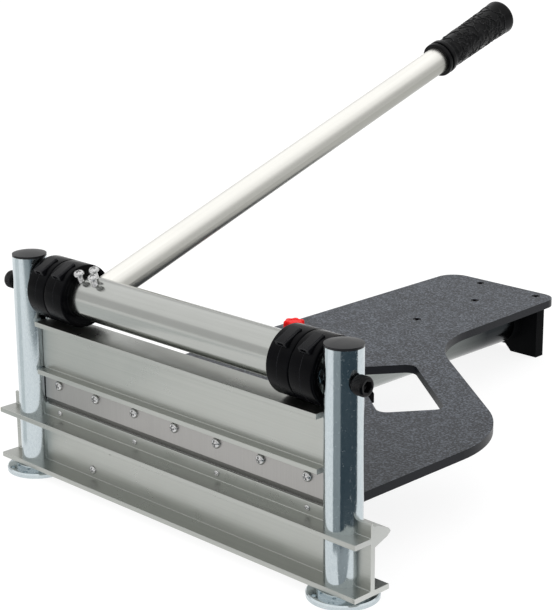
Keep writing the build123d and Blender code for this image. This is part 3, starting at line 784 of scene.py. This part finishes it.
@dataclass
class Posts:
    """Two posts with caps, feet, springs, sliders and socket-head pivot bolts."""

    axis_y: float = -0.0028
    axis_z: float = 0.1753
    head_in: float = 0.2043
    head_out: float = 0.2146
    head_radius: float = 0.0080
    shank_radius: float = 0.0050
    pin_radius: float = 0.0040
    shank_end: float = 0.1717
    pin_end: float = 0.1540
    hex_apothem: float = 0.0040
    hex_depth: float = 0.0050
    teeth: int = 44
    columns: int = 264
    sides: dict[str, int] = field(default_factory=lambda: {"left": -1, "right": 1})

    def outline(self, shape: RimShape, radius: float) -> np.ndarray:
        """Radius round one row of the head.

        A hexagon's radius is apothem / cos(a), with a the angle from the middle of
        the nearest side. A knurl adds a triangle wave with one peak per tooth.

        Args:
            shape: Kind of outline.
            radius: Radius of the circle, or the hexagon's apothem.

        Returns:
            One radius per column.
        """
        turn = np.linspace(0.0, 2.0 * math.pi, self.columns, endpoint=False)
        if shape is RimShape.HEX:
            third = math.pi / 3.0
            return radius / np.cos((turn + third / 2.0) % third - third / 2.0)
        if shape is RimShape.KNURL:
            wave = np.abs((turn * self.teeth / (2.0 * math.pi)) % 1.0 - 0.5) * 2.0
            return radius - 0.00035 * smooth_step(wave, 0.1, 0.9)
        return np.full(self.columns, radius)

    def bolt(self, side: int) -> tuple[np.ndarray, np.ndarray]:
        """Make one bolt, from the floor of its socket to the end of its pin.

        Args:
            side: -1 for the left post, 1 for the right.

        Returns:
            Vertices and triangles.
        """
        r, out, low = self.head_radius, self.head_out, self.head_in
        floor = out - self.hex_depth
        rows = [
            (RimShape.HEX, 0.0004, floor - 0.0006), (RimShape.HEX, 0.0036, floor),
            (RimShape.HEX, self.hex_apothem, floor + 0.0003),
            (RimShape.HEX, self.hex_apothem, out - 0.0006),
            (RimShape.HEX, self.hex_apothem + 0.0002, out - 0.0002),
            (RimShape.ROUND, 0.0053, out), (RimShape.ROUND, 0.0064, out),
            (RimShape.ROUND, 0.0070, out - 0.0002),
            (RimShape.ROUND, 0.0075, out - 0.0007),
            (RimShape.KNURL, r, out - 0.0013), (RimShape.KNURL, r, out - 0.0030),
            (RimShape.KNURL, r, out - 0.0050), (RimShape.KNURL, r, low + 0.0020),
            (RimShape.ROUND, 0.0076, low + 0.0014),
            (RimShape.ROUND, 0.0069, low + 0.0010),
            (RimShape.ROUND, 0.0069, low), (RimShape.ROUND, self.shank_radius, low),
            (RimShape.ROUND, self.shank_radius, self.shank_end),
            (RimShape.ROUND, self.pin_radius, self.shank_end),
            (RimShape.ROUND, self.pin_radius, self.pin_end + 0.0006),
            (RimShape.ROUND, self.pin_radius - 0.0006, self.pin_end),
        ]
        radius = np.stack([self.outline(shape, size) for shape, size, _ in rows])
        height = np.repeat(np.array([[h] for _, _, h in rows]), self.columns, axis=1)
        axle = Axle((0.0, self.axis_y, self.axis_z), (float(side), 0.0, 0.0),
                    (0.0, 0.35, 1.0))
        return skin(turned(radius, height, axle))

    def build(self, wardrobe: Wardrobe) -> None:
        """Dress both posts and make their bolts."""
        for name, side in self.sides.items():
            wardrobe.dress_node(Finishes.ZINC, f"post_{name}", f"foot_{name}",
                                f"washer_{name}")
            wardrobe.dress_node(Finishes.CAP, f"cap_{name}")
            wardrobe.dress_node(Finishes.SPRING, f"spring_{name}")
            wardrobe.dress_node(Finishes.NYLON, f"slider_{name}")
            piece = make_piece(f"knurled_bolt_{name}", [self.bolt(side)], 30.0)
            wardrobe.dress_piece(piece, Finishes.OXIDE, Body.FRAME, "black_oxide",
                                 f"pivot_bolt_{name}")


@dataclass
class Cutter:
    """Moving beam, blade and the seven blade screws."""

    pitch: float = 0.0508
    screw_height: float = 0.0878
    face: float = -0.0011
    screw: PanScrew = PanScrew(0.0046, 0.0031, 0.0025, 0.0062)

    def build(self, wardrobe: Wardrobe) -> None:
        """Dress the beam and the blade and make the screws."""
        wardrobe.dress_node(Finishes.ALUMINIUM, "blade_beam")
        wardrobe.dress_node(Finishes.BLADE, "blade")
        skins = []
        for step in range(-3, 4):
            side = spun(step * 1.7, (1.0, 0.0, 0.0), (0.0, 0.0, 1.0))
            seat = Axle((step * self.pitch, self.face, self.screw_height),
                        (0.0, -1.0, 0.0), side)
            skins.append(self.screw.build(seat))
        wardrobe.dress_piece(make_piece("blade_screw_set", skins), Finishes.SCREW,
                             Body.CUTTER, "polished_steel", "blade_screws")


@dataclass
class Roller:
    """Roller tube with its plugs, rings, latches and clamp screws."""

    centre_y: float = 0.0103
    centre_z: float = 0.1740
    bore: float = 0.01955
    ring_radius: float = 0.0279
    ring_half: float = 0.01175
    ring_places: dict[str, float] = field(default_factory=lambda: {
        "left_outer": -0.15965, "left_inner": -0.13565,
        "right_inner": 0.13565, "right_outer": 0.15965})
    latch_tilt: float = 24.4
    latch_half: float = 0.0055
    latch_top: float = 0.0295
    latch_low: float = 0.0250
    latch_rear: float = 0.0070
    latch_front: float = 0.0135
    handle_x: float = -0.1080
    handle_tilt: float = 18.67
    clamp_spots: tuple[tuple[float, float, float], ...] = (
        (-0.0094, -0.0040, 0.0140), (0.0094, -0.0040, 0.0140), (0.0, 0.0056, 0.0159))
    clamp_seat: float = 0.0260

    def ring(self, place: float) -> tuple[np.ndarray, np.ndarray]:
        """Make one ring: a rounded section carried round the roller.

        The section has a stepped end face each side and a fine parting line round
        the middle of the outer face.

        Args:
            place: X of the ring's middle.

        Returns:
            Vertices and triangles.
        """
        r, half, step = self.ring_radius, self.ring_half, 0.0012
        line = 0.00022
        section = rounded_profile([
            (self.bore, -half + step, 0.0), (0.0240, -half + step, 0.0003),
            (0.0240, -half, 0.0003), (r, -half, 0.0013),
            (r, -line, 0.0), (r - line, 0.0, 0.0), (r, line, 0.0),
            (r, half, 0.0013), (0.0240, half, 0.0003),
            (0.0240, half - step, 0.0003), (self.bore, half - step, 0.0)])
        columns = 128
        radius = np.repeat(section[:, :1], columns, axis=1)
        height = np.repeat(section[:, 1:], columns, axis=1)
        centre = (place, self.centre_y, self.centre_z)
        axle = Axle(centre, (1.0, 0.0, 0.0), (0.0, 0.0, 1.0))
        return skin(turned(radius, height, axle), ring=True)

    def latch(self, place: float) -> tuple[np.ndarray, np.ndarray]:
        """Make one latch bar: a flat section carried straight over the ring's top.

        Both ends are rounded by shrinking the section over the last rows, and the
        front end then turns back into a small square hollow.

        Args:
            place: X of the ring's middle.

        Returns:
            Vertices and triangles.
        """
        half, top, low = self.latch_half, self.latch_top, self.latch_low
        x = np.array([-half, -half, -half + 0.0005, -0.0042, -0.0040, 0.0040, 0.0042,
                      half - 0.0005, half, half])
        z = np.array([low, top - 0.0009, top - 0.0004, top - 0.0004, top, top,
                      top - 0.0004, top - 0.0004, top - 0.0009, low])
        middle = np.array([0.0, (top + low) / 2.0])
        across = np.stack([x, z], axis=-1)
        run = np.array([self.latch_rear, self.latch_rear, self.latch_rear - 0.0006,
                        -self.latch_front + 0.0004, -self.latch_front, -self.latch_front,
                        -self.latch_front + 0.0014, -self.latch_front + 0.0014])
        size = np.array([0.4, 0.90, 1.0, 1.0, 0.93, 0.55, 0.50, 0.1])
        flat = middle + (across[None] - middle) * size[:, None, None]
        lean = math.radians(self.latch_tilt)
        up = np.array([0.0, -math.sin(lean), math.cos(lean)])
        back = np.array([0.0, math.cos(lean), math.sin(lean)])
        origin = np.array([place, self.centre_y, self.centre_z])
        rows = (origin + flat[..., :1] * np.array([1.0, 0.0, 0.0])
                + flat[..., 1:] * up + run[:, None, None] * back)
        return skin(rows)

    def clamp_screws(self) -> list[tuple[np.ndarray, np.ndarray]]:
        """Make the three screws that hold the handle in the roller."""
        lean = math.radians(self.handle_tilt)
        along = np.array([0.0, math.cos(lean), math.sin(lean)])
        above = np.array([0.0, -math.sin(lean), math.cos(lean)])
        origin = np.array([self.handle_x, self.centre_y, self.centre_z])
        skins = []
        for place, (dx, run, tip) in enumerate(self.clamp_spots):
            seat = (origin + np.array([dx, 0.0, 0.0]) + along * run
                    + above * self.clamp_seat)
            side = spun(0.4 + place * 1.3, (1.0, 0.0, 0.0), tuple(along))
            screw = PanScrew(0.00475, 0.0032, 0.0025, self.clamp_seat - tip - 0.0002)
            skins.append(screw.build(Axle(tuple(seat), tuple(above), side)))
        return skins

    def build(self, wardrobe: Wardrobe) -> None:
        """Dress the roller and make the rings, latches and clamp screws."""
        wardrobe.dress_node(Finishes.ROLLER, "roller_tube", "roller_plug_left",
                            "roller_plug_right", "handle_socket")
        for name, place in self.ring_places.items():
            ring = make_piece(f"eccentric_ring_{name}", [self.ring(place)], 35.0)
            wardrobe.dress_piece(ring, Finishes.RING, Body.LEVER, "black_plastic",
                                 f"cam_ring_{name}")
            latch = make_piece(f"ring_latch_{name}", [self.latch(place)], 25.0)
            wardrobe.dress_piece(latch, Finishes.LATCH_PAINTED_SHEEN, Body.LEVER, "black_plastic")
        screws = make_piece("clamp_screw_set", self.clamp_screws())
        wardrobe.dress_piece(screws, Finishes.SCREW, Body.LEVER, "polished_steel",
                             "handle_screws")


@dataclass
class Handle:
    """Handle tube with a rubber grip in raised relief."""

    origin: Point = (-0.1080, 0.0103, 0.1740)
    tilt: float = 18.67
    lift: float = 0.0025
    tube_radius: float = 0.01330
    start: float = 0.4760
    end: float = 0.5840
    relief: float = 0.0009
    seed: int = 11
    columns: int = 208

    def axle(self) -> Axle:
        """Find the handle's centre line."""
        lean = math.radians(self.tilt)
        along = (0.0, math.cos(lean), math.sin(lean))
        above = np.array([0.0, -math.sin(lean), math.cos(lean)])
        origin = np.array(self.origin) + above * self.lift
        return Axle(tuple(origin), along)

    def profile(self) -> np.ndarray:
        """Section of the grip: a bore, two collars, a slim body and a flared end."""
        s, e = self.start, self.end
        return rounded_profile([
            (0.004, e - 0.0098, 0.0), (self.tube_radius, e - 0.0098, 0.0),
            (self.tube_radius, s, 0.0), (0.0172, s, 0.0010), (0.0176, s + 0.0040, 0.0008),
            (0.0156, s + 0.0047, 0.0003), (0.0156, s + 0.0062, 0.0003),
            (0.0175, s + 0.0068, 0.0008), (0.0174, s + 0.0118, 0.0010),
            (0.0152, s + 0.0132, 0.0006), (0.0155, s + 0.0550, 0.0),
            (0.0161, e - 0.0180, 0.0), (0.0176, e - 0.0060, 0.0015),
            (0.0178, e - 0.0022, 0.0012), (0.0165, e, 0.0010), (0.0020, e + 0.0006, 0.0)])

    def fine_profile(self) -> np.ndarray:
        """Divide the long runs of the profile, so that the relief has rows to use."""
        line = self.profile()
        parts = []
        for first, second in zip(line[:-1], line[1:]):
            inside = first[0] < 0.0140 and second[0] < 0.0140
            span = float(np.linalg.norm(second - first))
            count = 1 if inside else max(1, int(span / 0.00045))
            t = np.arange(count)[:, None] / count
            parts.append(first + (second - first) * t)
        return np.concatenate([*parts, line[-1:]])

    def scribble(self, turn: np.ndarray, run: np.ndarray) -> np.ndarray:
        """Raised curls: borders between seeded cells, on warped coordinates.

        With F1 and F2 the distances to the nearest and second nearest seed, the
        height is exp(-((F2 - F1) / width)^2), so it peaks on the border lines.

        Args:
            turn: Angle of each point.
            run: Distance of each point along the grip.

        Returns:
            Height of 0 to 1, of the same shape.
        """
        rng = np.random.default_rng(self.seed)
        girth = 2.0 * math.pi * 0.0158
        x = turn / (2.0 * math.pi) * girth
        y = run
        x = x + 0.0016 * np.sin(y * 620.0 + 3.0 * np.sin(turn * 2.0))
        y = y + 0.0016 * np.sin(turn * 5.0 + y * 210.0)
        seeds = np.stack([rng.random(90) * girth, rng.random(90) * 0.110], axis=-1)
        gap_x = np.abs(x[..., None] - seeds[:, 0])
        gap_x = np.minimum(gap_x, girth - gap_x)
        gap = np.sqrt(gap_x ** 2 + (y[..., None] - seeds[:, 1]) ** 2)
        near = np.partition(gap, 1, axis=-1)
        border = np.exp(-(((near[..., 1] - near[..., 0]) / 0.0009) ** 2))
        curl = np.exp(-(((near[..., 0] - 0.0024) / 0.0006) ** 2))
        return np.maximum(border, 0.8 * curl)

    def grip(self) -> tuple[np.ndarray, np.ndarray]:
        """Turn the profile round the handle and raise the relief on its body."""
        line = self.fine_profile()
        radius = np.repeat(line[:, :1], self.columns, axis=1)
        height = np.repeat(line[:, 1:], self.columns, axis=1)
        turn = np.linspace(0.0, 2.0 * math.pi, self.columns, endpoint=False)
        turn = np.repeat(turn[None], len(line), axis=0)
        run = height - self.start
        left = self.end - height
        body = (smooth_step(run, 0.0150, 0.0180) * smooth_step(left, 0.0100, 0.0150)
                * (radius > 0.0145))
        radius = radius + self.relief * self.scribble(turn, run) * body
        return skin(turned(radius, height, self.axle()))

    def build(self, wardrobe: Wardrobe) -> None:
        """Dress the tube and make the grip."""
        wardrobe.dress_node(Finishes.HANDLE, "handle_tube")
        piece = make_piece("relief_grip", [self.grip()], 50.0)
        wardrobe.dress_piece(piece, Finishes.RUBBER, Body.LEVER, "black_rubber",
                             "handle_grip")


@dataclass
class Table:
    """Table board with its leg, support tube, blocks and screws."""

    def build(self, wardrobe: Wardrobe) -> None:
        """Dress every node of the table."""
        wardrobe.dress_node(Finishes.BOARD, "table_board")
        wardrobe.dress_node(Finishes.LEG, "table_leg", "tube_end_plug", "tube_pad")
        wardrobe.dress_node(Finishes.TUBE, "support_tube", "tube_block")
        wardrobe.dress_node(Finishes.OXIDE, "table_screws", "leg_bolt")


@dataclass
class StopKnob:
    """Red lobed knob on its stud."""

    x: float = -0.1644
    y: float = 0.3104
    base: float = 0.0684
    height: float = 0.0084
    radius: float = 0.0098
    wave: float = 0.0012
    lobes: int = 6
    columns: int = 144

    def build(self, wardrobe: Wardrobe) -> None:
        """Make the knob: a rounded profile whose radius swells at each lobe."""
        wardrobe.dress_node(Finishes.SCREW, "knob_stud")
        line = rounded_profile([
            (0.0010, 0.0, 0.0), (0.0080, 0.0, 0.0008), (self.radius, 0.0008, 0.0004),
            (self.radius, self.height - 0.0012, 0.0010),
            (self.radius - 0.0014, self.height, 0.0006),
            (0.0052, self.height, 0.0004), (0.0048, self.height - 0.0006, 0.0002),
            (0.0005, self.height - 0.0005, 0.0)])
        turn = np.linspace(0.0, 2.0 * math.pi, self.columns, endpoint=False)
        share = smooth_step(line[:, :1], 0.0055, 0.0080)
        radius = line[:, :1] + self.wave * np.cos(self.lobes * turn)[None] * share
        height = np.repeat(line[:, 1:], self.columns, axis=1)
        axle = Axle((self.x, self.y, self.base), (0.0, 0.0, 1.0))
        piece = make_piece("lobed_knob", [skin(turned(radius, height, axle))], 35.0)
        wardrobe.dress_piece(piece, Finishes.RED, Body.KNOB, "red_plastic", "stop_knob")


# ---------------------------------------------------------------------------
# Camera, floor and light
# ---------------------------------------------------------------------------
@dataclass
class Viewpoint:
    """Camera round a point on the cutter."""

    target: Point = (0.03647, 0.03525, 0.19280)
    distance: float = 1.408623
    azimuth: float = 46.216
    elevation: float = 16.551
    roll: float = -0.831
    lens: float = 102.594
    shift: tuple[float, float] = (0.06826, 0.00095)

    def build(self) -> bpy.types.Object:
        """Place the camera.

        Returns:
            The camera, which is also made the scene's own.
        """
        a, e = math.radians(self.azimuth), math.radians(self.elevation)
        back = Vector((math.sin(a) * math.cos(e), -math.cos(a) * math.cos(e),
                       math.sin(e)))
        right = (-back).cross(Vector((0.0, 0.0, 1.0))).normalized()
        up = right.cross(-back)
        turn = math.radians(self.roll)
        level = math.cos(turn) * right + math.sin(turn) * up
        upright = -math.sin(turn) * right + math.cos(turn) * up
        data = bpy.data.cameras.new("view")
        data.lens, data.sensor_width = self.lens, 36.0
        data.shift_x, data.shift_y = self.shift
        data.clip_start, data.clip_end = 0.05, 100.0
        camera = bpy.data.objects.new("view", data)
        turned_to = Matrix((level, upright, back)).transposed().to_4x4()
        place = Vector(self.target) + back * self.distance
        camera.matrix_world = Matrix.Translation(place) @ turned_to
        bpy.context.scene.collection.objects.link(camera)
        bpy.context.scene.camera = camera
        return camera


@dataclass
class Studio:
    """Pale floor, soft sky, one large softbox and one dark flag."""

    floor_half: float = 40.0
    floor_glow: float = 0.86
    sky_strength: float = 1.18
    horizon: float = 0.66
    softbox_power: float = 4.0
    sky_low: float = 0.42
    sky_high: float = 0.46
    softbox_size: tuple[float, float] = (2.2, 1.6)
    softbox_place: tuple[float, float, float] = (-1.8, -0.2, 2.0)
    softbox_aim: tuple[float, float, float] = (0.0, 0.15, 0.1)
    cards: tuple[tuple[str, tuple[tuple[float, float], ...], Tone], ...] = (
        ("dark_card", ((0.232, -0.100), (0.392, -0.456), (1.00, -1.83),
                       (2.2, -1.4), (2.3, 0.3), (1.87, 1.09), (0.360, 0.110),
                       (0.300, -0.060)), (0.028, 0.045, 0.057)),
        ("grey_card", ((0.160, -0.100), (-0.45, -1.88), (1.00, -1.83),
                       (0.392, -0.456), (0.232, -0.100)), (0.25, 0.275, 0.285)),
        ("near_card", ((0.205, -0.030), (0.205, -0.098), (0.300, -0.098),
                       (0.300, -0.030)), (0.32, 0.34, 0.35)),
        ("left_card", ((-0.223, -0.073), (-0.69, -1.09), (-1.23, -0.60),
                       (-0.260, -0.040)), (0.60, 0.62, 0.62)))

    def floor(self) -> None:
        """Lay a plain pale floor under the feet."""
        half = self.floor_half
        x = np.array([-half, half, half, -half])
        y = np.array([-half, -half, half, half])
        mesh = bpy.data.meshes.new("floor")
        corners = np.stack([x, y, np.zeros(4)], axis=-1)
        mesh.from_pydata(corners.tolist(), [], [(0, 1, 2, 3)])
        floor = bpy.data.objects.new("floor", mesh)
        bpy.context.scene.collection.objects.link(floor)
        graph = Graph("pale_floor")
        tint = graph.noise((3.0, 3.0, 3.0), 2.0)
        graph.join(graph.blend(tint, (0.19, 0.19, 0.19), (0.21, 0.21, 0.21)),
                   graph.shader.inputs["Base Color"])
        graph.settle(Roughness=0.9, Specular_IOR_Level=0.1,
                     Emission_Color=(1.0, 1.0, 1.0, 1.0),
                     Emission_Strength=self.floor_glow)
        floor.data.materials.append(graph.material)

    def flag(self, name: str, spots: tuple[tuple[float, float], ...], tone: Tone) -> None:
        """Lay a card on the floor, which only shiny surfaces see.

        Args:
            name: Name of the card.
            spots: X and Y of its corners.
            tone: Its darkest tone.
        """
        corners = [(x, y, 0.002) for x, y in spots]
        mesh = bpy.data.meshes.new(name)
        mesh.from_pydata(corners, [], [tuple(range(len(corners)))])
        card = bpy.data.objects.new(name, mesh)
        bpy.context.scene.collection.objects.link(card)
        graph = Graph(f"{name}_cloth")
        tint = graph.noise((20.0, 20.0, 20.0), 2.0)
        pale = tuple(1.4 * part for part in tone)
        graph.join(graph.blend(tint, tone, pale), graph.shader.inputs["Base Color"])
        graph.settle(Roughness=1.0, Specular_IOR_Level=0.0)
        card.data.materials.append(graph.material)
        card.visible_camera = False
        card.visible_diffuse = False
        card.visible_shadow = False

    def sky(self) -> None:
        """Make the sky: grey near the horizon, bright above about 27 degrees."""
        world = bpy.data.worlds.new("studio")
        bpy.context.scene.world = world
        world.use_nodes = True
        tree = world.node_tree
        place = tree.nodes.new("ShaderNodeTexCoord")
        split = tree.nodes.new("ShaderNodeSeparateXYZ")
        ramp = tree.nodes.new("ShaderNodeValToRGB")
        ramp.color_ramp.elements[0].position = self.sky_low
        ramp.color_ramp.elements[0].color = (self.horizon,) * 3 + (1.0,)
        ramp.color_ramp.elements[1].position = self.sky_high
        ramp.color_ramp.elements[1].color = (1.0, 1.0, 1.0, 1.0)
        tree.links.new(place.outputs["Generated"], split.inputs[0])
        tree.links.new(split.outputs["Z"], ramp.inputs[0])
        shade = tree.nodes["Background"]
        tree.links.new(ramp.outputs[0], shade.inputs["Color"])
        shade.inputs["Strength"].default_value = self.sky_strength

    def softbox(self) -> None:
        """Hang a large softbox up on the left."""
        data = bpy.data.lights.new("softbox", "AREA")
        data.shape = "RECTANGLE"
        data.size, data.size_y = self.softbox_size
        data.energy = self.softbox_power
        lamp = bpy.data.objects.new("softbox", data)
        lamp.location = self.softbox_place
        aim = Vector(self.softbox_aim) - Vector(self.softbox_place)
        lamp.rotation_euler = aim.to_track_quat("-Z", "Y").to_euler()
        lamp.visible_glossy = False
        bpy.context.scene.collection.objects.link(lamp)

    def build(self) -> None:
        """Make the floor, its cards, the sky and the softbox."""
        self.floor()
        for name, spots, tone in self.cards:
            self.flag(name, spots, tone)
        self.sky()
        self.softbox()
        bpy.context.scene.view_settings.view_transform = "Standard"


def main() -> None:
    """Build the view, the cutter and the studio."""
    logging.basicConfig(level=logging.INFO, format="%(message)s")
    Viewpoint().build()
    wardrobe = Wardrobe()
    for assembly in (FixedBeam(), Posts(), Cutter(), Roller(), Handle(), Table(),
                     StopKnob()):
        assembly.build(wardrobe)
        log.info("built %s", type(assembly).__name__)
    Studio().build()


if __name__ == "__main__":
    main()
